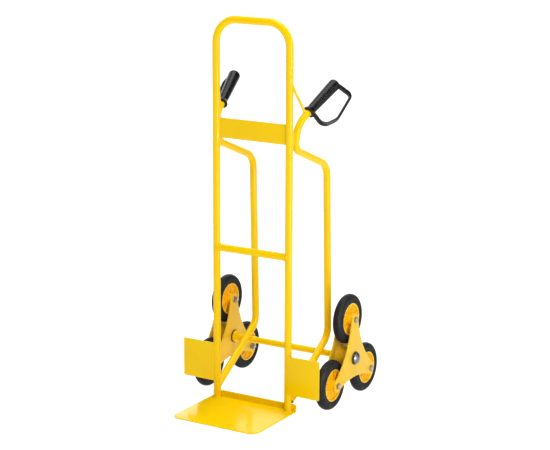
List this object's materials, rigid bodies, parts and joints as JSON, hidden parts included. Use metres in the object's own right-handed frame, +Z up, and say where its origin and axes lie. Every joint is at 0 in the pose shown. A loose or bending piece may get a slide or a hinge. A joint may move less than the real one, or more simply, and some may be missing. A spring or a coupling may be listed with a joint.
{
  "type": "stair climbing trolley",
  "caption": "Tubular hand truck with a folded toe plate, guarded rear grips and tri-star clusters of solid-tyred wheels that turn to climb stairs.",
  "frame": {"origin": "on the floor at the centre of the trolley's footprint, with the toe plate and wheels touching z = 0", "axes": "+X to the right across the frame, +Y to the back towards the wheels and grips, +Z up"},
  "size_m": [0.509, 0.5906, 1.1555],
  "materials": {
    "yellow_paint": "gloss powder coat",
    "star_paint": "satin powder coat",
    "zinc": "bright zinc plate",
    "sleeve_steel": "drawn steel",
    "cap_chrome": "polished",
    "bush_plastic": "moulded nylon",
    "grip_plastic": "fine textured",
    "tyre_rubber": "solid rubber",
    "rim_plastic": "moulded, semi-gloss"
  },
  "bodies": {
    "frame": {"main_frame_tube": "yellow_paint", "mid_crossbar": "yellow_paint", "top_panel": "yellow_paint", "toe_plate": "yellow_paint", "axle": "yellow_paint", "side_guard_left": "yellow_paint", "side_guard_right": "yellow_paint", "handle_tube_left": "yellow_paint", "handle_tube_right": "yellow_paint", "handle_brace_left": "yellow_paint", "handle_brace_right": "yellow_paint", "grip_left": "grip_plastic", "grip_right": "grip_plastic", "axle_collar_left": "yellow_paint", "axle_collar_right": "yellow_paint", "hub_cap_left": "cap_chrome", "hub_cap_right": "cap_chrome"},
    "star_left": {"star_plate_inner_left": "star_paint", "star_plate_outer_left": "star_paint", "star_barrel_left": "star_paint", "hub_bush_inner_left": "bush_plastic", "hub_bush_outer_left": "bush_plastic", "wheel_bolts_left": "zinc", "wheel_nuts_left": "zinc", "nut_washers_left": "zinc", "wheel_sleeves_left": "sleeve_steel"},
    "wheel_left_top": {"tyre_left_top": "tyre_rubber", "rim_left_top": "rim_plastic", "wheel_bushes_left_top": "bush_plastic"},
    "wheel_left_front": {"tyre_left_front": "tyre_rubber", "rim_left_front": "rim_plastic", "wheel_bushes_left_front": "bush_plastic"},
    "wheel_left_rear": {"tyre_left_rear": "tyre_rubber", "rim_left_rear": "rim_plastic", "wheel_bushes_left_rear": "bush_plastic"},
    "star_right": {"star_plate_inner_right": "star_paint", "star_plate_outer_right": "star_paint", "star_barrel_right": "star_paint", "hub_bush_inner_right": "bush_plastic", "hub_bush_outer_right": "bush_plastic", "wheel_bolts_right": "zinc", "wheel_nuts_right": "zinc", "nut_washers_right": "zinc", "wheel_sleeves_right": "sleeve_steel"},
    "wheel_right_top": {"tyre_right_top": "tyre_rubber", "rim_right_top": "rim_plastic", "wheel_bushes_right_top": "bush_plastic"},
    "wheel_right_front": {"tyre_right_front": "tyre_rubber", "rim_right_front": "rim_plastic", "wheel_bushes_right_front": "bush_plastic"},
    "wheel_right_rear": {"tyre_right_rear": "tyre_rubber", "rim_right_rear": "rim_plastic", "wheel_bushes_right_rear": "bush_plastic"}
  },
  "joints": [
    {"name": "star_left_spin", "type": "hinge", "parent": "frame", "child": "star_left", "pos_m": [-0.21275, 0.11769, 0.13425], "axis": [1, 0, 0], "continuous": true},
    {"name": "wheel_left_top_spin", "type": "hinge", "parent": "star_left", "child": "wheel_left_top", "pos_m": [-0.21275, 0.11769, 0.25275], "axis": [1, 0, 0], "continuous": true},
    {"name": "wheel_left_front_spin", "type": "hinge", "parent": "star_left", "child": "wheel_left_front", "pos_m": [-0.21275, 0.01506, 0.075], "axis": [1, 0, 0], "continuous": true},
    {"name": "wheel_left_rear_spin", "type": "hinge", "parent": "star_left", "child": "wheel_left_rear", "pos_m": [-0.21275, 0.22031, 0.075], "axis": [1, 0, 0], "continuous": true},
    {"name": "star_right_spin", "type": "hinge", "parent": "frame", "child": "star_right", "pos_m": [0.21275, 0.11769, 0.13425], "axis": [1, 0, 0], "continuous": true},
    {"name": "wheel_right_top_spin", "type": "hinge", "parent": "star_right", "child": "wheel_right_top", "pos_m": [0.21275, 0.11769, 0.25275], "axis": [1, 0, 0], "continuous": true},
    {"name": "wheel_right_front_spin", "type": "hinge", "parent": "star_right", "child": "wheel_right_front", "pos_m": [0.21275, 0.01506, 0.075], "axis": [1, 0, 0], "continuous": true},
    {"name": "wheel_right_rear_spin", "type": "hinge", "parent": "star_right", "child": "wheel_right_rear", "pos_m": [0.21275, 0.22031, 0.075], "axis": [1, 0, 0], "continuous": true}
  ]
}
